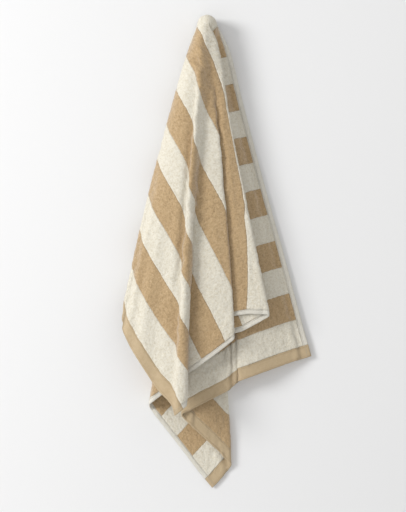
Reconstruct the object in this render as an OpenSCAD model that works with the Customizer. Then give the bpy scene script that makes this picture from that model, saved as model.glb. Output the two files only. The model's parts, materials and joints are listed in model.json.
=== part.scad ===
// Striped terry bath towel, hung over a round peg by the middle of one long edge.
// Origin: on the axis of the pocket that the cloth makes over the peg, at the centre of its rounded end.
// +X runs to the right, +Y runs back to the wall that carries the peg, +Z is up. Millimetres.
//
// The towel is described flat first: u runs along its length and v across its width, both
// counted from the point that sits on the peg's end. Straight lines out of that point stay
// straight when the towel hangs, and the folds run along them.

/* [Cloth] */
// Length of the flat towel, end to end
towel_length = 1300; // [1260:10:1340]
// Width of the flat towel, long edge to long edge
towel_width = 700; // [680:5:720]
// Thickness of the terry, pile included
thickness = 3.4; // [2.6:0.1:3.6]
// Depth of the flat-woven header hem at each short end
header_depth = 27; // [22:1:32]
// Width of the turned hem along each long edge
side_hem_width = 11; // [9:1:13]

/* [Hanging] */
// Distance along the cloth from the front end to the peg
front_length = 531; // [510:1:550]
// Distance from the near long edge in to the peg's end
edge_to_peg = 25; // [22:1:27]
// Radius of the peg that the towel hangs on
peg_radius = 15; // [12:0.5:15]
// Slack between the peg and the cloth drawn round it
peg_slack = 1; // [0.5:0.1:1]
// Half the length of cloth that one fold takes to turn back
fold_half = 9; // [8:0.5:11]

/* [Mesh] */
// Cells across the width of the towel in each band
columns = 48; // [40:1:50]
// Cells along the length in each band
band_rows = 4; // [3:1:4]

/* [Hidden] */

cream = [0.93, 0.90, 0.84];
tan_yarn = [0.78, 0.66, 0.51];
header_tan = [0.85, 0.74, 0.60];
hem_cream = [0.96, 0.94, 0.90];

// The bands, counted from the front end: odd places are cream, even places are tan
band_count = 21;
band_depth = (towel_length - 2 * header_depth) / band_count;
// The band that lies over the peg
crown_place = round((front_length - header_depth) / band_depth - 0.5);
u_front = -front_length;
u_back = towel_length - front_length;
v_near = -edge_to_peg;
v_far = towel_width - edge_to_peg;
v_terry_near = v_near + side_hem_width;
v_terry_far = v_far - side_hem_width;

// The crown: cloth drawn tight over the peg, with a round end
pocket_radius = peg_radius + peg_slack;
crown_radius = pocket_radius + 2.9;
crown_length = edge_to_peg - 1;
// Middle of the cloth where it passes over the crown, a hair clear of it
over_radius = crown_radius + thickness / 2 + 0.2;
// The straight folds seem to start a little below the top of the crown
apex_height = 6.5;
// How far from the peg the cloth has left the crown's shape for that of the folds
leave_length = 45;
// Distance from the peg's end at which that band leaves the front of the crown
crown_exit = 34;

// The folds, in order round the peg from the near edge on the right, over the front, to the
// near edge on the left. Each row is a fold line: its direction in the flat cloth close to the
// peg and out at the hems, its lean from the vertical at the same two places (both in degrees,
// a positive lean is to the right), and how far forward of the peg's end the layer after it hangs.
near_reach = 216;
far_reach = 756;
folds = [
    [  0.0,   0.0,  16.2,  15.8,   8],   // right edge, the loose back corner's panel
    [ 12.0,  12.5,   6.5,   4.9,   3],   // small step in that panel
    [ 15.5,  15.5,   4.5,   7.9,  -2],
    [ 18.5,  18.5,   2.3,   4.9,  -2],
    [ 27.0,  27.0,  -4.0,  -4.0,  -9],   // turns back behind itself
    [ 38.0,  38.0,   3.6,   3.6, -15],
    [ 52.5,  52.5,  -9.0,  -9.0,  15],   // comes round to the front
    [ 66.0,  66.0,   0.0,   0.0,  15],
    [ 97.0,  86.0,  12.6,  12.4,  22],   // right fold of the narrow flap
    [106.3, 101.5,   3.3,  -3.1,  29],
    [109.8, 109.8,   6.9,   5.2,  35],   // right fold of the middle panel
    [118.0, 121.6,  -2.9,  -6.3,  41],
    [119.5, 125.2,  -3.9,  -2.8,  59],   // the long ridge left of it
    [120.5, 128.0,  -8.4,  -5.2,  53],
    [124.7, 128.6,  -4.2,  -4.8,  47],
    [133.0, 133.0, -11.5,  -9.8,  38],   // the wide front panel curves back
    [137.0, 136.5, -14.8, -12.4,  23],
    [141.0, 140.5, -16.5, -14.5,   0],   // left edge of the hanging towel
    [145.0, 144.5, -15.5, -14.2, -21.5],
    [163.0, 163.0,   3.0,   3.5, -28],   // behind, close to the wall
    [180.0, 180.0, -12.0, -12.0, -28]
];
// The layers bunch up towards the peg
near_bunch = 0.6;
// Cloth taken up in passing over the peg's end
take_up = 10;

function mix(a, b, t) = a + (b - a) * t;
function clamp(x, low, high) = min(max(x, low), high);

function fold_angle(i, far) = mix(folds[i][0], folds[i][1], far);
function lean_table(far) =
    [for (i = [0 : len(folds) - 1]) [fold_angle(i, far), mix(folds[i][2], folds[i][3], far)]];
// Each layer keeps its own depth, so this table steps at every fold
function depth_table(far) =
    [for (i = [0 : len(folds) - 2], end = [0, 1])
        [fold_angle(i + end, far) + 0.02 - 0.04 * end, -folds[i][4] * mix(near_bunch, 1, far)]];
// A fold is rounded by taking the mean over the cloth it turns in
function rounded(angle, half, table) =
    (lookup(angle - 0.8 * half, table) + lookup(angle - 0.4 * half, table) + lookup(angle, table)
    + lookup(angle + 0.4 * half, table) + lookup(angle + 0.8 * half, table)) / 5;

// A point of the cloth on or in front of the peg, at distance r from the peg's end
function draped(r, angle) =
    let (far = clamp((r - near_reach) / (far_reach - near_reach), -0.15, 1.1))
    let (half = clamp(fold_half / max(r, 1) * 180 / PI, 0.5, 40))
    let (lean = rounded(angle, half, lean_table(far)))
    let (depth = rounded(angle, half, depth_table(far)))
    let (run = r - take_up * (1 - exp(-r / 40)))
    [run * sin(lean), depth, apex_height - run * cos(lean)];
function over_crown(r, angle) =
    let (bend = min(r / over_radius * 180 / PI, 90))
    let (drop = max(r - over_radius * PI / 2, 0))
    [over_radius * sin(bend) * cos(angle),
     -over_radius * sin(bend) * sin(angle),
     over_radius * cos(bend) - drop];
function front_point(r, angle) =
    let (w = 1 - exp(-pow(r / leave_length, 2)))
    over_crown(r, angle) * (1 - w) + draped(r, angle) * w;

// Behind the peg's end the narrow strip to the near edge first runs back over the peg, and
// further down turns out level with the panel it belongs to
function edge_direction(u) =
    let (side = u < 0 ? -1 : 1)
    let (lean = u < 0 ? folds[len(folds) - 1][3] : folds[0][3])
    let (back = 8 + 82 * exp(-pow(u / 60, 2)))
    [side * cos(back) * cos(lean), sin(back), side * cos(back) * sin(lean)];
// Cloth can't pass inside the crown, so a point that would is pushed straight out of it
function clear_of_crown(p) =
    let (d = p[1] > 0 ? norm([p[0], p[2]]) : norm(p))
    let (k = max(1, over_radius / max(d, 0.1)))
    [p[0] * k, p[1] > 0 ? p[1] : p[1] * k, p[2] * k];
function cloth_point(u, v) = clear_of_crown(
    v >= 0
    ? front_point(norm([u, v]), atan2(v, u))
    : front_point(abs(u), u < 0 ? 180 : 0) - v * edge_direction(u));

// Direction square to the cloth, towards the face that shows on the outside of the crown
function cloth_normal(u, v) =
    let (step = 2)
    let (along = cloth_point(u + step, v) - cloth_point(u - step, v))
    let (across = cloth_point(u, v + step) - cloth_point(u, v - step))
    let (n = cross(across, along))
    n / norm(n);

// A closed strip of cloth over the flat rectangle u0..u1, v0..v1
module cloth_strip(u0, u1, v0, v1, nu, nv, thick = thickness) {
    grid = [for (i = [0 : nu], j = [0 : nv]) [mix(u0, u1, i / nu), mix(v0, v1, j / nv)]];
    middle = [for (g = grid) cloth_point(g[0], g[1])];
    half = [for (g = grid) cloth_normal(g[0], g[1]) * thick / 2];
    count = len(grid);
    points = concat(
        [for (k = [0 : count - 1]) middle[k] + half[k]],
        [for (k = [0 : count - 1]) middle[k] - half[k]]
    );
    function at(i, j) = i * (nv + 1) + j;
    outer = [for (i = [0 : nu - 1], j = [0 : nv - 1], t = [0, 1])
        t == 0
        ? [at(i, j), at(i + 1, j), at(i + 1, j + 1)]
        : [at(i, j), at(i + 1, j + 1), at(i, j + 1)]];
    inner = [for (f = outer) [f[0] + count, f[2] + count, f[1] + count]];
    rim = concat(
        [for (i = [0 : nu - 1]) [at(i + 1, 0), at(i, 0)]],
        [for (j = [0 : nv - 1]) [at(nu, j + 1), at(nu, j)]],
        [for (i = [nu : -1 : 1]) [at(i - 1, nv), at(i, nv)]],
        [for (j = [nv : -1 : 1]) [at(0, j - 1), at(0, j)]]
    );
    walls = [for (e = rim, t = [0, 1])
        t == 0
        ? [e[0], e[1], e[1] + count]
        : [e[0], e[1] + count, e[0] + count]];
    polyhedron(points = points, faces = concat(outer, inner, walls), convexity = 12);
}

// One woven band, place counted from the front end starting at 0
module band(place) {
    u0 = u_front + header_depth + place * band_depth;
    v0 = place == crown_place ? crown_exit : v_terry_near;
    cloth_strip(u0, u0 + band_depth, v0, v_terry_far, band_rows, columns);
}

module cream_band(number) {
    color(cream) band(2 * number - 2);
}

module tan_band(number) {
    color(tan_yarn) band(2 * number - 1);
}

// Turned and stitched double, so a touch thinner than terry
module header(u0) {
    color(header_tan)
        cloth_strip(u0, u0 + header_depth, v_near, v_far, 2, columns, thickness - 0.6);
}

module side_hem(v0) {
    color(hem_cream)
        cloth_strip(u_front + header_depth, u_back - header_depth, v0, v0 + side_hem_width,
            88, 1, thickness - 0.6);
}

// The part of the cream band over the peg that is drawn tight round it, open towards the wall
module crown() {
    color(cream)
        rotate([-90, 0, 0])
        rotate_extrude($fn = 96)
        difference() {
            union() {
                circle(r = crown_radius, $fn = 96);
                square([crown_radius, crown_length]);
            }
            circle(r = pocket_radius, $fn = 96);
            translate([-1, 0])
                square([pocket_radius + 1, crown_length + 1]);
            translate([-2 * crown_radius, -2 * crown_radius])
                square([2 * crown_radius, 4 * crown_radius]);
        }
}

crown();
cream_band(1);  // cream_band_01
cream_band(2);  // cream_band_02
cream_band(3);  // cream_band_03
cream_band(4);  // cream_band_04
cream_band(5);  // cream_band_05
cream_band(6);  // cream_band_06
cream_band(7);  // cream_band_07
cream_band(8);  // cream_band_08
cream_band(9);  // cream_band_09
cream_band(10);  // cream_band_10
cream_band(11);  // cream_band_11
tan_band(1);  // tan_band_01
tan_band(2);  // tan_band_02
tan_band(3);  // tan_band_03
tan_band(4);  // tan_band_04
tan_band(5);  // tan_band_05
tan_band(6);  // tan_band_06
tan_band(7);  // tan_band_07
tan_band(8);  // tan_band_08
tan_band(9);  // tan_band_09
tan_band(10);  // tan_band_10
header(u_front);  // front_header
header(u_back - header_depth);  // back_header
side_hem(v_near);  // near_side_hem
side_hem(v_terry_far);  // far_side_hem
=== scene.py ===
# %% [markdown]
# # A striped bath towel, hung over a peg
# The towel is one length of terry: a ground cloth with looped cotton pile on both faces, woven
# in bands of two yarns, with a flat header hem at each end and a narrow hem down each side.
# It hangs from one long edge on a round peg, and falls in pleats that all start at the peg.
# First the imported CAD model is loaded. It gives the frame: where the peg's pocket is, and the
# box that the cloth has to stay in.

# %% Load the frame
import json
import math

import bmesh
import bpy
import numpy as np
from mathutils import Matrix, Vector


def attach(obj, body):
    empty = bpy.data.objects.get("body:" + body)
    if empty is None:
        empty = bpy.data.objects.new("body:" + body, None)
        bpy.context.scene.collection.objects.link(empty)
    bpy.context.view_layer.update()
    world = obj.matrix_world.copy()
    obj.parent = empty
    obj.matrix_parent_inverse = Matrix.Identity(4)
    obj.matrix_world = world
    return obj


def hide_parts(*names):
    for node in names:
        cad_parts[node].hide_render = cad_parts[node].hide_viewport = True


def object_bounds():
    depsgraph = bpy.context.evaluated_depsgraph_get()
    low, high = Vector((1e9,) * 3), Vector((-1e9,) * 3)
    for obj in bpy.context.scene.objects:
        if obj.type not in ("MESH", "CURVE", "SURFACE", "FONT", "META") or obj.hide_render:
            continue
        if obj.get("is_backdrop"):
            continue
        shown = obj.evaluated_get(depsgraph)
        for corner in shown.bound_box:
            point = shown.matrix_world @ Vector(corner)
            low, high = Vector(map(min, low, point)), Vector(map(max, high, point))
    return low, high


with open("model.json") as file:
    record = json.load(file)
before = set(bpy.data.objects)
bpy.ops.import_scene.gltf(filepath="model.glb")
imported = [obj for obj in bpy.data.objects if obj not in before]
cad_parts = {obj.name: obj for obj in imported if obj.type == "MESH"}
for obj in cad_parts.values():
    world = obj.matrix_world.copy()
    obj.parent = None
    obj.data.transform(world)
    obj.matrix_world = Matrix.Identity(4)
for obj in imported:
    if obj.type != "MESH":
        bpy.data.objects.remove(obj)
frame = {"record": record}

cad_box = [list(map(float, corner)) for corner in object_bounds()]
pocket = next(m for m in frame["record"]["mounts"] if m["name"] == "peg_pocket")
peg = np.array(pocket["pos_m"])
print("CAD box:", cad_box, "peg pocket at", peg)

# %% [markdown]
# ## The cloth, laid flat
# A weaver knows a towel by its flat sizes, and everything else follows from them. u runs along
# the length and v across the width, both in metres, counted from the point that rests on the
# peg's end. The bands divide what is left of the length between the two headers.

# %% Flat sizes
LENGTH = 1.300
WIDTH = 0.700
HEADER = 0.027
SIDE_HEM = 0.011
BANDS = 21
FRONT_LENGTH = 0.531
EDGE_TO_PEG = 0.025
BAND = (LENGTH - 2 * HEADER) / BANDS

U_FRONT = -FRONT_LENGTH
U_BACK = LENGTH - FRONT_LENGTH
V_NEAR = -EDGE_TO_PEG
V_FAR = WIDTH - EDGE_TO_PEG
PEG_BAND = int((FRONT_LENGTH - HEADER) / BAND)
print(f"bands of {BAND * 1000:.1f} mm")
print(f"the one over the peg is number {PEG_BAND + 1} from the front end")

# %% [markdown]
# ## How it falls
# Cloth that hangs from one point makes a cone of pleats: straight lines out of the peg stay
# straight, and each fold runs down one of them. So the hang is told by a short list of folds, in
# the order in which you meet them going round the peg from the right edge, over the front, to
# the left edge behind. The CAD model is built from a list of the same kind, with a few folds less
# and other numbers. Each fold has its direction in the flat cloth, its lean from the vertical (to
# the right is positive), and how far forward the layer after it hangs. All three have one value
# close to the peg and one at the hems, because a fold may drift through the cloth on its way down.

# %% The folds
NEAR_REACH = 0.216
FAR_REACH = 0.756
# direction near, direction far, lean near, lean far, depth in mm of the next layer near and far
FOLDS = np.array([
    [0.0, 0.0, 16.2, 15.8, 5, 8],         # right edge and the panel of the loose back corner
    [12.0, 12.5, 6.5, 5.3, 1, 0],         # small step in that panel
    [15.0, 15.2, 4.5, 4.5, -1, -3],
    [18.5, 18.5, 2.3, 2.9, -1, -3],
    [27.0, 27.0, -4.0, -4.0, -5, -9],     # turns back behind itself
    [38.0, 38.0, 3.6, 3.4, -9, -15],
    [52.5, 52.5, -9.0, -9.0, 8, 14],      # comes round to the front
    [58.0, 58.0, -4.5, -5.0, 9, 14],      # slack gathered inside
    [64.0, 64.0, -8.0, -8.5, 10, 17],
    [78.0, 78.0, 1.0, 2.0, 10, 17],
    [97.0, 86.0, 12.6, 12.4, 14, 23],     # right fold of the narrow flap
    [106.3, 101.5, 3.3, -3.1, 18, 29],
    [109.8, 109.8, 6.9, 5.2, 22, 35],     # right fold of the middle panel
    [118.0, 121.6, -2.9, -6.3, 26, 41],
    [119.5, 125.2, -3.9, -2.8, 46, 61],   # the long ridge left of it
    [120.5, 128.0, -6.6, -5.2, 39.5, 54],
    [124.7, 128.6, -6.0, -4.8, 33, 47.5],
    [131.0, 131.0, -10.0, -7.6, 30, 42],  # the wide front panel curves back
    [135.5, 135.5, -13.3, -11.0, 22, 32],
    [139.0, 138.5, -15.2, -13.0, 11, 15],
    [142.0, 142.0, -15.8, -13.8, -4, -8], # left edge of the hanging towel
    [146.0, 146.0, -14.6, -13.2, -14, -22],
    [163.0, 163.0, 3.0, 3.5, -18, -28],   # behind, close to the wall
    [180.0, 180.0, -12.0, -12.0, -18, -28],
])
BEYOND = 400             # degrees that the first and the last stretch reach past the list
OVER_RADIUS = 0.0205     # from the peg's axis to the middle of the cloth over it
LEAVE_LENGTH = 0.045     # how far from the peg's end the cloth still follows the peg
APEX_HEIGHT = 0.0065     # the point that the pleats start from, above the peg's axis
FOLD_HALF = 0.0096       # half the width over which a fold is rounded
TAKE_UP = 0.010          # cloth used up in going over the peg's end
SIDE_TAKE_UP = 0.028     # and in going over its side, on the left
LEFT_SHIFT = 0.024       # how far the left panel is pulled to the left
PEG_WIDE = 0.060         # widening of all pleats where they leave the peg
FLAP_WIDE = 0.17         # the same for the narrow flap
EDGE_BACK = 0.034        # how far the right edge lies back towards the wall
CORNER_BACK = 0.018      # how far the right side of the lowest corner does
HEM_BACK = 8             # degrees that the near edge is turned back, along the cloth
HEM_BACK_ON_PEG = 82     # and the degrees added to that over the peg
WALL_Y = 0.039


def rise(x, start, over):
    """0 up to start, then a straight climb to 1."""
    return np.clip((x - start) / over, 0, 1)


def fall(x, end, over):
    """A straight descent from 1, and 0 from end on."""
    return np.clip((end - x) / over, 0, 1)


def rounded(angle, half, knots, values, stepped=False):
    """Mean over angle - half .. angle + half of the line through the knots.

    With stepped it is the mean of the steps between the knots.
    """
    def area(t):
        total = np.zeros_like(t)
        last = len(knots) - 2
        for i in range(last + 1):
            low = knots[i] if i else knots[i] - BEYOND
            high = knots[i + 1] if i < last else knots[i + 1] + BEYOND
            x = np.clip(t, low, high)
            if stepped:
                total += values[i] * (x - low)
            else:
                ends = np.clip(x, knots[i], knots[i + 1]) - knots[i]
                slope = (values[i + 1] - values[i]) / (knots[i + 1] - knots[i])
                total += (values[i] * (x - low) + slope * ends**2 / 2
                          + slope * ends * (x - knots[i] - ends))
        return total
    return (area(angle + half) - area(angle - half)) / (2 * half)


def front_point(r, angle):
    """Where the cloth in front of the near edge hangs, at distance r from the peg's end."""
    far = np.clip((r - NEAR_REACH) / (FAR_REACH - NEAR_REACH), -0.15, 1.1)
    half = np.clip(np.degrees(FOLD_HALF / np.maximum(r, 0.005)), 0.4, 40)
    knots = FOLDS[:, 0, None] + (FOLDS[:, 1] - FOLDS[:, 0])[:, None] * far
    leans = FOLDS[:, 2, None] + (FOLDS[:, 3] - FOLDS[:, 2])[:, None] * far
    depths = FOLDS[:, 4, None] + (FOLDS[:, 5] - FOLDS[:, 4])[:, None] * far
    lean = np.radians(rounded(angle, half, knots, leans))
    depth = -0.001 * rounded(angle, half, knots, depths, stepped=True)
    # the right edge lies back towards the wall
    depth = depth + EDGE_BACK * fall(angle, 11, 11) * rise(r, 0, 0.2)
    # and so does the right side of the lowest corner, below the other layers
    low_corner = rise(angle, 27, 11) * fall(angle, 56, 4)
    depth = depth + CORNER_BACK * low_corner * rise(r, 0.60, 0.12)
    # cloth on the left is used up in going over the side of the peg, the narrow flap is drawn up
    far_only = np.clip(far, 0, 1)
    round_side = rise(angle, 118, 22) * fall(angle, 185, 20)
    drawn_up = np.interp(angle, [82, 92, 101.5, 109.8, 118], [0, 0.036, 0.036, 0.024, 0]) * far_only
    taken = TAKE_UP + SIDE_TAKE_UP * round_side * (1 - 0.75 * far_only) + drawn_up
    run = r - taken * (1 - np.exp(-r / 0.040))
    left = rise(angle, 129, 11) * fall(angle, 170, 22)
    grown = 1 - np.exp(-(r / 0.022) ** 2)
    # the pleats leave the peg as wide as the peg is, and not from a point
    wide = PEG_WIDE * np.exp(-r / 0.16) * grown * (1 - left)
    on_flap = np.interp(angle, [78, 90, 100, 106], [0, 1, 1, 0])
    wide = wide + FLAP_WIDE * on_flap * np.exp(-r / 0.09) * grown
    sideways = (run + wide) * np.sin(lean) - LEFT_SHIFT * left * grown
    hung = np.stack([sideways, depth, APEX_HEIGHT - run * np.cos(lean)], -1)
    t = np.radians(angle)
    bend = np.minimum(r / OVER_RADIUS, math.pi / 2)
    drop = np.maximum(r - OVER_RADIUS * math.pi / 2, 0)
    dome = [np.sin(bend) * np.cos(t), -np.sin(bend) * np.sin(t), np.cos(bend)]
    over = np.stack(dome, -1) * OVER_RADIUS
    over[..., 2] -= drop
    w = 1 - np.exp(-(r / LEAVE_LENGTH) ** 2)[..., None]
    return over * (1 - w) + hung * w


def hang(u, v):
    """The place in space of the flat cloth's point u, v, before the cloth has settled."""
    ahead = np.maximum(v, 0)
    angle = np.degrees(np.arctan2(ahead, u))
    place = front_point(np.hypot(u, ahead), angle)
    behind = np.maximum(-v, 0)
    side = np.where(u < 0, -1.0, 1.0)
    lean = np.radians(np.where(u < 0, FOLDS[-1, 3], FOLDS[0, 3]))
    back = np.radians(HEM_BACK + HEM_BACK_ON_PEG * np.exp(-(u / 0.060) ** 2))
    level = side * np.cos(back)
    edge = np.stack([level * np.cos(lean), np.sin(back), level * np.sin(lean)], -1)
    place = place + behind[..., None] * edge
    # cloth can't pass inside the peg, so a point that would is pushed straight out of it
    out = place * [1, 0, 1] + place * [0, 1, 0] * (place[..., 1:2] < 0)
    push = np.maximum(OVER_RADIUS / np.maximum(np.linalg.norm(out, axis=-1), 1e-4), 1) - 1
    return peg + place + out * push[..., None]

# %% [markdown]
# ## The settled middle of the cloth
# A grid of small squares is cut to the towel's flat size, and every corner of it is hung by the
# fold list. Folded like that the squares are a little stretched here and slack there, which no
# cloth is. So the grid is then run as cloth for a moment, with the flat grid as its shape at
# rest: the threads take back some of their own length, the slack goes into small ripples, and
# the layers push each other apart. It is held firmly on the peg and half as firmly elsewhere. The
# pleats have to stay where the list puts them, so of what the cloth does only the small ripples
# are kept.

# %% Grid and settling
CELL = 0.008
SETTLE_FRAMES = 8
HOLD = 0.5               # how firmly the cloth off the peg is held, 0 to 1
SMOOTHINGS = 60          # passes that part the broad shift of the cloth from its ripples
RIPPLE_LIMIT = 0.003
COLUMNS_U = round(LENGTH / CELL)
COLUMNS_V = round(WIDTH / CELL)


def mesh_points(mesh):
    flat = np.empty(len(mesh.vertices) * 3, dtype=np.float32)
    mesh.vertices.foreach_get("co", flat)
    return flat.reshape(-1, 3).astype(float)


def settle(hung, flat, faces_of, frames, hold):
    """Runs the hung grid as cloth that wants to be as long and wide as the flat one."""
    mesh = faces_of.copy()
    cloth = bpy.data.objects.new("settling", mesh)
    bpy.context.collection.objects.link(cloth)
    mesh.vertices.foreach_set("co", hung.astype(np.float32).ravel())
    cloth.shape_key_add(name="hung")
    key = cloth.shape_key_add(name="flat")
    key.data.foreach_set("co", flat.astype(np.float32).ravel())
    key.value = 0.0
    group = cloth.vertex_groups.new(name="held")
    r = np.hypot(flat[:, 0], flat[:, 1])
    firm = hold + (1 - hold) * fall(r, 0.050, 0.015)
    for i, w in enumerate(np.round(firm, 3)):
        group.add([i], float(w), "REPLACE")
    wall_mesh = bpy.data.meshes.new("wall_stop")
    bm = bmesh.new()
    bmesh.ops.create_cube(bm, size=1.0)
    bmesh.ops.scale(bm, vec=(2.0, 0.08, 3.0), verts=bm.verts)
    bmesh.ops.translate(bm, vec=(0.0, WALL_Y + 0.04, -0.5), verts=bm.verts)
    bm.to_mesh(wall_mesh)
    bm.free()
    stop = bpy.data.objects.new("wall_stop", wall_mesh)
    bpy.context.collection.objects.link(stop)
    stop.modifiers.new("stop", "COLLISION")
    stop.collision.thickness_outer = 0.002
    m = cloth.modifiers.new("cloth", "CLOTH")
    s = m.settings
    s.rest_shape_key = key
    s.vertex_group_mass = "held"
    s.pin_stiffness = 1.0
    s.quality = 5
    s.mass = 0.02
    s.tension_stiffness = s.compression_stiffness = 12
    s.shear_stiffness = 3
    s.bending_stiffness = 4
    s.tension_damping = s.compression_damping = s.shear_damping = 8
    s.bending_damping = 1
    s.air_damping = 6
    m.collision_settings.use_self_collision = True
    m.collision_settings.self_distance_min = 0.0045
    m.collision_settings.distance_min = 0.002
    m.collision_settings.collision_quality = 3
    m.collision_settings.self_friction = 8
    m.point_cache.frame_start, m.point_cache.frame_end = 1, frames
    for f in range(1, frames + 1):
        bpy.context.scene.frame_set(f)
    settled = cloth.evaluated_get(bpy.context.evaluated_depsgraph_get())
    points = mesh_points(settled.data)
    bpy.context.scene.frame_set(1)
    bpy.data.objects.remove(cloth)
    bpy.data.objects.remove(stop)
    return points


def smoothed(field, axis):
    """Each value mixed with its two neighbours along one axis of the grid."""
    count = field.shape[axis]
    before = np.concatenate([field.take([0], axis), field.take(range(count - 1), axis)], axis)
    after = np.concatenate([field.take(range(1, count), axis), field.take([-1], axis)], axis)
    return (before + 2 * field + after) / 4


bm = bmesh.new()
bmesh.ops.create_grid(bm, x_segments=COLUMNS_U, y_segments=COLUMNS_V, size=0.5)
bmesh.ops.scale(bm, vec=(LENGTH, WIDTH, 1.0), verts=bm.verts)
bmesh.ops.translate(bm, vec=((U_FRONT + U_BACK) / 2, (V_NEAR + V_FAR) / 2, 0.0), verts=bm.verts)
grid_mesh = bpy.data.meshes.new("grid")
bm.to_mesh(grid_mesh)
bm.free()
flat_grid = mesh_points(grid_mesh)
order = np.lexsort((flat_grid[:, 1], flat_grid[:, 0]))
hung_grid = hang(flat_grid[:, 0], flat_grid[:, 1])
settled_grid = hung_grid
settled_grid = settle(hung_grid, flat_grid, grid_mesh, SETTLE_FRAMES, HOLD)
# the pleats stay where they hang: only the small ripples are kept, and none goes far
shift = (settled_grid - hung_grid)[order].reshape(COLUMNS_U + 1, COLUMNS_V + 1, 3)
broad = shift.copy()
for _ in range(SMOOTHINGS):
    for axis in (0, 1):
        broad = smoothed(broad, axis)
ripple = (shift - broad).reshape(-1, 3)
size = np.linalg.norm(ripple, axis=1)[:, None]
ripple *= RIPPLE_LIMIT * np.tanh(size / RIPPLE_LIMIT) / np.maximum(size, 1e-9)
settled_grid = hung_grid.copy()
settled_grid[order] += ripple
moved = np.linalg.norm(settled_grid - hung_grid, axis=1)
print(f"grid of {len(flat_grid)} points")
print(f"settling moved them {moved.mean() * 1000:.1f} mm on average")
print(f"and {moved.max() * 1000:.0f} mm at most")

# %% [markdown]
# ## From the table to the peg
# Every piece below is made flat on the table, where a hem is straight and a band is a rectangle,
# and is then carried to its place on the hanging cloth. That needs a smooth surface through the
# settled grid, so that a point between four corners gets a smooth place and a smooth outward
# direction. Each corner's pull is spread over its neighbours, as in a spline surface.

# %% A smooth surface through the grid
TABLE = 512              # random heights along each side of the table that bumps are read from
corners = settled_grid[order].reshape(COLUMNS_U + 1, COLUMNS_V + 1, 3)
for axis in (0, 1):
    first = 2 * corners.take([0], axis) - corners.take([1], axis)
    last = 2 * corners.take([-1], axis) - corners.take([-2], axis)
    corners = np.concatenate([first, corners, last], axis)


def pulls(t):
    """How strongly the four corners round a point pull at it."""
    return ((1 - t) ** 3 / 6, (3 * t**3 - 6 * t**2 + 4) / 6,
            (-3 * t**3 + 3 * t**2 + 3 * t + 1) / 6, t**3 / 6)


def slopes(t):
    """How fast those pulls change, which gives the surface's direction."""
    return (-(1 - t) ** 2 / 2, (3 * t**2 - 4 * t) / 2, (-3 * t**2 + 2 * t + 1) / 2, t**2 / 2)


def on_cloth(u, v):
    """The place of the cloth's middle at u, v, and the direction out of its outer face."""
    a = np.clip((u - U_FRONT) / LENGTH * COLUMNS_U, 0, COLUMNS_U - 1e-6)
    b = np.clip((v - V_NEAR) / WIDTH * COLUMNS_V, 0, COLUMNS_V - 1e-6)
    i, j = a.astype(int), b.astype(int)
    pu, pv, su, sv = pulls(a - i), pulls(b - j), slopes(a - i), slopes(b - j)
    place, along, across = np.zeros((3, len(u), 3))
    for m in range(4):
        for n in range(4):
            corner = corners[i + m, j + n]
            place += corner * (pu[m] * pv[n])[:, None]
            along += corner * (su[m] * pv[n])[:, None]
            across += corner * (pu[m] * sv[n])[:, None]
    out = np.cross(across, along)
    return place, out / np.maximum(np.linalg.norm(out, axis=1), 1e-12)[:, None]


def uneven(u, v, size, seed):
    """A smooth random height from -1 to 1 over the flat cloth, with bumps of the given size."""
    table = np.random.default_rng(seed).uniform(-1, 1, (TABLE, TABLE))
    a, b = u / size + 1000, v / size + 1000
    i, j = np.floor(a).astype(int), np.floor(b).astype(int)
    s, t = a - i, b - j
    s, t = s * s * (3 - 2 * s), t * t * (3 - 2 * t)
    i0, i1, j0, j1 = i % TABLE, (i + 1) % TABLE, j % TABLE, (j + 1) % TABLE
    here = table[i0, j0] * (1 - s) + table[i1, j0] * s
    there = table[i0, j1] * (1 - s) + table[i1, j1] * s
    return here * (1 - t) + there * t


print(f"a smooth surface over {COLUMNS_U} by {COLUMNS_V} squares")

# %% [markdown]
# ## Shader maths
# A material's patterns are sums and products of a few textures. Written as plain expressions
# they stay readable, so a small class wraps a socket and turns each operator into a Math node.

# %% The wrapped socket
class Wire:
    """A socket that can be added, multiplied and subtracted like a number."""

    def __init__(self, tree, socket):
        self.tree, self.socket = tree, socket

    def maths(self, how, a, b):
        return node(self.tree, "ShaderNodeMath", {"operation": how}, {0: a, 1: b})

    def __add__(self, other):
        return self.maths("ADD", self, other)

    def __sub__(self, other):
        return self.maths("SUBTRACT", self, other)

    def __rsub__(self, other):
        return self.maths("SUBTRACT", other, self)

    def __mul__(self, other):
        return self.maths("MULTIPLY", self, other)

    __rmul__ = __mul__


def node(tree, kind, settings=None, inputs=None, output=0):
    """Makes one node: its settings first, then its sockets' values or links."""
    made = tree.nodes.new(kind)
    for name, value in (settings or {}).items():
        if name == "stops":
            ramp = made.color_ramp
            while len(ramp.elements) < len(value):
                ramp.elements.new(1.0)
            for element, (at, colour) in zip(ramp.elements, value):
                element.position, element.color = at, colour
        else:
            setattr(made, name, value)
    for name, value in (inputs or {}).items():
        if isinstance(value, Wire):
            tree.links.new(value.socket, made.inputs[name])
        else:
            made.inputs[name].default_value = value
    return Wire(tree, made.outputs[output])


def mixed(tree, amount, a, b):
    """A colour between a and b. The Mix node has its colours at inputs 6 and 7, and at output 2."""
    return node(tree, "ShaderNodeMix", {"data_type": "RGBA"}, {0: amount, 6: a, 7: b}, 2)


def colour(red, green, blue):
    """A colour as a dyer's card gives it, 0 to 255, turned to the light values a shader wants."""
    card = (np.array([red, green, blue]) / 255) ** 2.2
    return (*map(float, card), 1.0)


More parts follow.
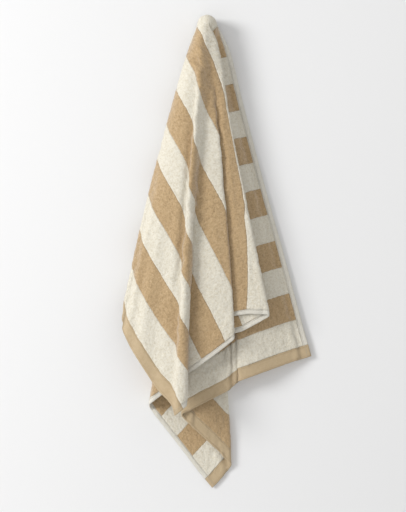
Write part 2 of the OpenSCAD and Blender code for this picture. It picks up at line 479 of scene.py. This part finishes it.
def cotton(name, paint, roughness=0.95, sheen=0.25):
    """A matt cloth material: paint(tree, flat) gives its colour and its bump height in metres."""
    material = bpy.data.materials.new(name)
    material.use_nodes = True
    tree = material.node_tree
    shader = tree.nodes["Principled BSDF"]
    flat = node(tree, "ShaderNodeUVMap", {"uv_map": "flat"})
    base, height = paint(tree, flat)
    tree.links.new(base.socket, shader.inputs["Base Color"])
    bump = node(tree, "ShaderNodeBump", {}, {"Strength": 1.0, "Distance": 1.0, "Height": height})
    tree.links.new(bump.socket, shader.inputs["Normal"])
    shader.inputs["Roughness"].default_value = roughness
    shader.inputs["Sheen Weight"].default_value = sheen
    shader.inputs["Sheen Roughness"].default_value = 0.6
    shader.inputs["Specular IOR Level"].default_value = 0.15
    return material


print("shader helpers ready")

# %% [markdown]
# ## Terry
# Terry shows the ends and sides of thousands of small cotton loops, about a millimetre across.
# They catch the light as a fine grain, and where they lean together the cloth looks mottled at a
# larger scale of a few millimetres. Between the loops the colour is painted darker: painted shade in
# the hollows of the pile. So the colour is built from the loops and three sizes of noise on the flat
# cloth, and all but the largest of these also raise the surface.

# %% Terry material
def terry(deep, middle, light):
    def paint(tree, flat):
        loops = node(tree, "ShaderNodeTexVoronoi", {"feature": "F1"},
                     {"Vector": flat, "Scale": 780.0, "Randomness": 0.9})
        lean, tufts = [node(tree, "ShaderNodeTexNoise", {},
                            {"Vector": flat, "Scale": scale, "Detail": 3.0, "Roughness": 0.6})
                       for scale in (260.0, 150.0)]
        wash = node(tree, "ShaderNodeTexNoise", {}, {"Vector": flat, "Scale": 14.0, "Detail": 2.0})
        grain_and_loop_shade = 0.50 * lean + 0.40 * tufts + 0.10 * wash
        # painted shade: the colour is made darker between the loops, in the hollows of the pile, on
        # top of the random mottling
        grain_and_loop_shade = (grain_and_loop_shade - 0.5) * 1.4 + 0.62 - loops * 0.25
        stops = [(0.10, deep), (0.52, middle), (0.90, light)]
        base = node(tree, "ShaderNodeValToRGB", {"stops": stops}, {"Fac": grain_and_loop_shade})
        height = 0.0007 * (1 - loops) + 0.0010 * lean + 0.0012 * tufts
        return base, height
    return paint


# the first colour of each is the darkest, reached by the mottling and by the painted shade between
# the loops
cream_paint = terry(colour(190, 177, 149), colour(222, 216, 200), colour(235, 231, 220))
tan_paint = terry(colour(126, 99, 60), colour(184, 155, 114), colour(206, 181, 144))
cream_terry = cotton("cream_terry", cream_paint)
tan_terry = cotton("tan_terry", tan_paint, sheen=0.6)
print("terry in cream and tan")

# %% [markdown]
# ## Flat weave, hems and thread
# The header at each end is woven without loops, so it is thin and smooth, with a fine rib of
# crossing threads. The side hems are the same cream ground cloth turned over twice, and they
# are sewn with a thread that has gone a little grey.

# %% Flat weave, hem and thread materials
WAVE_SCALE = 0.314       # a wave texture of this scale has one rib per metre
HEADER_RIB = 0.0011
THREAD_RIB = 0.0008


def flat_weave(deep, light, pitch):
    def paint(tree, flat):
        wide, long = [node(tree, "ShaderNodeTexWave", {"wave_type": "BANDS", "bands_direction": way},
                           {"Vector": flat, "Scale": WAVE_SCALE / pitch, "Distortion": 0.6,
                            "Detail": 1.0}, 1)
                      for way in ("X", "Y")]
        slub = node(tree, "ShaderNodeTexNoise", {}, {"Vector": flat, "Scale": 120.0, "Detail": 4.0})
        thread = 0.25 * wide + 0.25 * long + 0.5 * slub
        base = mixed(tree, thread, deep, light)
        return base, 0.0003 * wide + 0.0003 * long + 0.0006 * slub
    return paint


header_weave, side_hem_weave, hem_thread, header_thread = [
    cotton(name, flat_weave(colour(*deep), colour(*light), rib), roughness, sheen)
    for name, deep, light, rib, roughness, sheen in (
        ("header_weave", (184, 160, 122), (222, 200, 166), HEADER_RIB, 0.88, 0.15),
        ("side_hem", (214, 207, 190), (249, 246, 236), HEADER_RIB, 0.9, 0.15),
        ("hem_thread", (166, 160, 148), (208, 202, 190), THREAD_RIB, 0.8, 0.1),
        ("header_thread", (160, 134, 98), (206, 180, 143), THREAD_RIB, 0.8, 0.1),
    )]
print("flat weave, hem and thread")

# %% [markdown]
# ## Cutting and hanging a piece
# Each band, header and hem is a rectangle of cloth with a thickness. It starts as a grid, gets
# its thickness with the solidify operator, and its upper side becomes the outer face. Loops
# never stand level, so the faces of terry are raised and lowered a little before the piece is
# carried to the peg. Two colours meet in an uneven line, and both bands must know the same line.

# %% Piece maker
TERRY_THICK = 0.0040
HEADER_THICK = 0.0026
SIDE_HEM_THICK = 0.0036
PILE_CELL = 0.0022       # squares of a piece with pile
HEADER_CELL = 0.0027
LOOP_HEIGHT, LOOP_SIZE = 0.00045, 0.0023
TUFT_HEIGHT, TUFT_SIZE = 0.0004, 0.006
EDGE_ROUND = 0.004       # how far in from those edges a hem gets thinner
pieces = {}


def wavering(u, v):
    """The edge between two bands, which wanders by less than a millimetre."""
    return u + 0.0005 * uneven(u * 0 + round(float(u.flat[0]), 4), v, 0.004, 7)


def cut(name, u_range, v_range, thick, cell, materials, pile=1.0, bulge=0.0):
    """A rectangle of cloth with the flat map "flat", its outer face in the first material."""
    (u0, u1), (v0, v1) = u_range, v_range
    bm = bmesh.new()
    nu, nv = max(2, round((u1 - u0) / cell)), max(2, round((v1 - v0) / cell))
    bmesh.ops.create_grid(bm, x_segments=nu, y_segments=nv, size=0.5)
    bmesh.ops.scale(bm, vec=(u1 - u0, v1 - v0, 1.0), verts=bm.verts)
    bmesh.ops.translate(bm, vec=((u0 + u1) / 2, (v0 + v1) / 2, thick / 2), verts=bm.verts)
    bmesh.ops.solidify(bm, geom=bm.faces, thickness=thick)
    bmesh.ops.recalc_face_normals(bm, faces=bm.faces)
    flat_map = bm.loops.layers.uv.new("flat")
    for face in bm.faces:
        face.smooth = True
        face.material_index = 1 if face.normal.z < -0.5 else 0
        for loop in face.loops:
            loop[flat_map].uv = loop.vert.co.xy
    mesh = bpy.data.meshes.new(name)
    bm.to_mesh(mesh)
    bm.free()
    for material in materials:
        mesh.materials.append(material)
    piece = bpy.data.objects.new(name, mesh)
    bpy.context.collection.objects.link(piece)
    hang_piece(piece, u_range, v_range, thick, pile, bulge)
    return piece


def hang_piece(piece, u_range=None, v_range=None, thick=0.0, pile=0.0, bulge=0.0):
    """Moves every point of a flat piece to the hanging cloth.

    Height above the table becomes height off the cloth's middle.
    """
    mesh = piece.data
    u, v, high = mesh_points(mesh).T
    if u_range:
        face = np.sign(high) * (np.abs(high) > thick / 4)
        ends = [np.abs(u - edge) < 1e-5 for edge in u_range]
        loops = LOOP_HEIGHT * uneven(u, v, LOOP_SIZE, 3)
        loops = loops + TUFT_HEIGHT * uneven(u, v, TUFT_SIZE, 4)
        high = high + face * pile * loops
        # a header is thinner at its two ends, and a side hem along both its edges
        near_edge = np.minimum(np.minimum(v - v_range[0], v_range[1] - v), EDGE_ROUND)
        high = high * (1 + bulge * (near_edge / EDGE_ROUND - 1))
        for end in ends:
            if end.any() and pile:
                u = np.where(end, wavering(u[end][:1], v), u)
    place, out = on_cloth(u, v)
    mesh.vertices.foreach_set("co", (place + out * high[:, None]).astype(np.float32).ravel())
    mesh.update()


bands = []
for place_number in range(BANDS):
    start = U_FRONT + HEADER + BAND * place_number
    cream = place_number % 2 == 0
    name = f"{'cream' if cream else 'tan'}_band_{place_number // 2 + 1:02d}"
    faces = [cream_terry, tan_terry] if cream else [tan_terry, cream_terry]
    band = cut(name + "_terry", (start, start + BAND), (V_NEAR + SIDE_HEM, V_FAR - SIDE_HEM),
               TERRY_THICK, PILE_CELL, faces)
    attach(band, "root")
    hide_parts(name, *(["crown"] if place_number == PEG_BAND else []))
    bands.append(band)
print(len(bands), "bands,", sum(len(b.data.polygons) for b in bands), "faces")

# %% [markdown]
# ## Headers and side hems
# The header hems are thinner than the terry and close the cloth at its short ends, from edge to
# edge. A side hem is a narrow fold of ground cloth along each long edge, a little thinner than
# the pile beside it, and rounded at the outside where the cloth turns over.

# %% Headers and hems
for name, start in (("front_header", U_FRONT), ("back_header", U_BACK - HEADER)):
    header = cut(name + "_hem", (start, start + HEADER), (V_NEAR, V_FAR), HEADER_THICK, HEADER_CELL,
                 [header_weave, header_weave], pile=0.12, bulge=0.5)
    pieces[name] = header
    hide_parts(name)
for name, start in (("near_side_hem", V_NEAR), ("far_side_hem", V_FAR - SIDE_HEM)):
    hem = cut(name + "_fold", (U_FRONT + HEADER, U_BACK - HEADER), (start, start + SIDE_HEM),
              SIDE_HEM_THICK, PILE_CELL, [side_hem_weave, side_hem_weave], pile=0.2, bulge=0.35)
    pieces[name] = hem
    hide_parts(name)
print("hems:", ", ".join(sorted(pieces)))

# %% [markdown]
# ## Stitching
# Sewing thread shows as a row of short stitches, each about three millimetres long and almost a
# millimetre thick. One stitch is a small ball, stretched; an array repeats it along the seam.
# There are hundreds, so each has only a few faces. They lie on both faces of the cloth, and are
# hung by the same surface as the hems they hold down.

# %% Stitches
STITCH = 0.0034          # from one stitch to the next
STITCH_SIZE = (STITCH * 0.82, 0.0008, 0.0008)
HEM_DEPTH = 0.0017       # height of the thread off the middle of the cloth
HEADER_DEPTH = 0.0014
LINE_IN = 0.004          # from a header's outer edge to its first seam
LINE_BACK = 0.0035       # from its inner edge to the second


def seam(name, along_u, start, end, lines, depth, material):
    """Rows of stitches on both faces, from start to end, one row at each of the lines."""
    count = int(abs(end - start) / STITCH)
    bm = bmesh.new()
    for line in lines:
        for side in (1, -1):
            made = bmesh.ops.create_uvsphere(bm, u_segments=6, v_segments=4, radius=0.5)["verts"]
            long, thin, high = STITCH_SIZE
            size = (long, thin, high) if along_u else (thin, long, high)
            bmesh.ops.scale(bm, vec=size, verts=made)
            at = start + STITCH / 2
            place = (at, line, side * depth) if along_u else (line, at, side * depth)
            bmesh.ops.translate(bm, vec=place, verts=made)
    mesh = bpy.data.meshes.new(name)
    bm.to_mesh(mesh)
    bm.free()
    mesh.materials.append(material)
    row = bpy.data.objects.new(name, mesh)
    bpy.context.collection.objects.link(row)
    repeat = row.modifiers.new("repeat", "ARRAY")
    repeat.use_relative_offset = False
    repeat.use_constant_offset = True
    repeat.constant_offset_displace = (STITCH, 0, 0) if along_u else (0, STITCH, 0)
    repeat.count = count
    ready = row.evaluated_get(bpy.context.evaluated_depsgraph_get())
    whole = bpy.data.meshes.new_from_object(ready)
    row.modifiers.clear()
    row.data = whole
    flat_map = whole.uv_layers.new(name="flat")
    points = mesh_points(whole)
    corner_of = np.empty(len(whole.loops), dtype=np.int32)
    whole.loops.foreach_get("vertex_index", corner_of)
    flat_map.data.foreach_set("uv", points[corner_of, :2].astype(np.float32).ravel())
    for face in whole.polygons:
        face.use_smooth = True
    hang_piece(row)
    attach(row, "root")
    return row


for side, line in (("near", V_NEAR + 0.0085), ("far", V_FAR - 0.0085)):
    pieces[side + "_stitch"] = seam(side + "_side_stitching", True, U_FRONT + 0.002, U_BACK - 0.002,
                                    [line], HEM_DEPTH, hem_thread)
for end, lines in (
    ("front", [U_FRONT + LINE_IN, U_FRONT + HEADER - LINE_BACK]),
    ("back", [U_BACK - LINE_IN, U_BACK - HEADER + LINE_BACK]),
):
    pieces[end + "_stitch"] = seam(end + "_header_stitching", False, V_NEAR + 0.004, V_FAR - 0.004,
                                   lines, HEADER_DEPTH, header_thread)
for edge, thread, size in (
    ("front_header", "front_stitch", (WIDTH, HEADER)),
    ("back_header", "back_stitch", (WIDTH, HEADER)),
    ("near_side_hem", "near_stitch", (LENGTH - 2 * HEADER, SIDE_HEM)),
    ("far_side_hem", "far_stitch", (LENGTH - 2 * HEADER, SIDE_HEM)),
):
    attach(pieces[edge], "root")
print("stitches:", sum(len(pieces[k].data.polygons) for k in pieces if "stitch" in k), "faces")

# %% [markdown]
# ## Stage
# The towel hangs against a plain white wall, above a plain pale floor. The wall is see-through
# from behind, so the back of the towel can be looked at. It takes the towel's shadow, and throws
# neither light nor shadow itself.

# %% Wall and floor
FLOOR_Z = -1.45


def plain(name, grey, see_through_behind=False):
    material = bpy.data.materials.new(name)
    material.use_nodes = True
    tree = material.node_tree
    shader = tree.nodes["Principled BSDF"]
    shader.inputs["Base Color"].default_value = (grey, grey, grey, 1.0)
    shader.inputs["Roughness"].default_value = 0.9
    shader.inputs["Specular IOR Level"].default_value = 0.2
    if see_through_behind:
        behind = node(tree, "ShaderNodeNewGeometry", {}, {}, "Backfacing")
        clear = node(tree, "ShaderNodeBsdfTransparent")
        front = Wire(tree, shader.outputs[0])
        both = node(tree, "ShaderNodeMixShader", {}, {0: behind, 1: front, 2: clear})
        tree.links.new(both.socket, tree.nodes["Material Output"].inputs["Surface"])
    return material


def stage_plane(name, width, depth, turn, at, material):
    bm = bmesh.new()
    bmesh.ops.create_grid(bm, x_segments=1, y_segments=1, size=0.5)
    bmesh.ops.scale(bm, vec=(width, depth, 1.0), verts=bm.verts)
    if turn:
        upright = Matrix.Rotation(math.pi / 2, 3, "X")
        bmesh.ops.rotate(bm, cent=(0, 0, 0), matrix=upright, verts=bm.verts)
    bmesh.ops.translate(bm, vec=at, verts=bm.verts)
    mesh = bpy.data.meshes.new(name)
    bm.to_mesh(mesh)
    bm.free()
    mesh.materials.append(material)
    plane = bpy.data.objects.new(name, mesh)
    bpy.context.collection.objects.link(plane)
    plane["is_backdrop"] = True
    return plane


white_wall = plain("white_wall", 0.81, see_through_behind=True)
wall = stage_plane("wall", 5.0, 4.0, True, (0.0, WALL_Y, 0.0), white_wall)
wall.visible_diffuse = wall.visible_glossy = False
wall.visible_transmission = wall.visible_shadow = False
stage_plane("floor", 8.0, 8.0, False, (0.0, 0.0, FLOOR_Z), plain("pale_floor", 0.75))
print("wall at", WALL_Y, "floor at", FLOOR_Z)

# %% [markdown]
# ## Camera and light
# The camera looks straight at the towel from a few metres, as a catalogue picture does. One large
# soft light stands high in front on the left, which models the pleats and lays a soft shadow
# on the wall, and an even pale surround fills the shade.

# %% Camera and lights
CENTRE = np.array([-0.0086, 0.0, -0.499])
FRAME_HEIGHT = 1.106
LENS = 85
SENSOR = 36
camera_data = bpy.data.cameras.new("camera")
camera_data.lens = LENS
camera_data.sensor_width = SENSOR
camera_data.clip_end = 50
camera = bpy.data.objects.new("camera", camera_data)
camera.location = (CENTRE[0], -FRAME_HEIGHT / (SENSOR / LENS), CENTRE[2])
camera.rotation_euler = (math.pi / 2, 0, 0)
bpy.context.collection.objects.link(camera)
bpy.context.scene.camera = camera


def soft_light(name, at, towards, size, watts):
    data = bpy.data.lights.new(name, "AREA")
    data.shape = "DISK"
    data.size = size
    data.energy = watts
    light = bpy.data.objects.new(name, data)
    light.location = at
    aim = np.array(towards) - np.array(at)
    across = math.atan2(aim[0], -aim[1])
    flat_run = math.hypot(aim[0], aim[1])
    light.rotation_euler = (math.atan2(flat_run, -aim[2]), 0, math.pi + across)
    bpy.context.collection.objects.link(light)


soft_light("key", at=(-4.0, -2.9, 0.8), towards=(0, 0, -0.5), size=1.9, watts=178)
surround = bpy.data.worlds.new("surround")
surround.use_nodes = True
background = surround.node_tree.nodes["Background"]
background.inputs["Color"].default_value = (1.0, 1.0, 1.0, 1.0)
background.inputs["Strength"].default_value = 0.66
bpy.context.scene.world = surround
bpy.context.scene.view_settings.view_transform = "Standard"
print("camera at", [round(c, 3) for c in camera.location])

# %% [markdown]
# ## Size
# The visual towel must stay the size of the CAD model. The boxes of the visual towel and of the
# CAD model are written down side by side.

# %% Compare the boxes
visual_box = [list(map(float, corner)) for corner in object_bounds()]
for axis in range(3):
    cad, seen = [b[1][axis] - b[0][axis] for b in (cad_box, visual_box)]
    print("XYZ"[axis], f"CAD {cad * 1000:.0f} mm, visual {seen * 1000:.0f} mm")
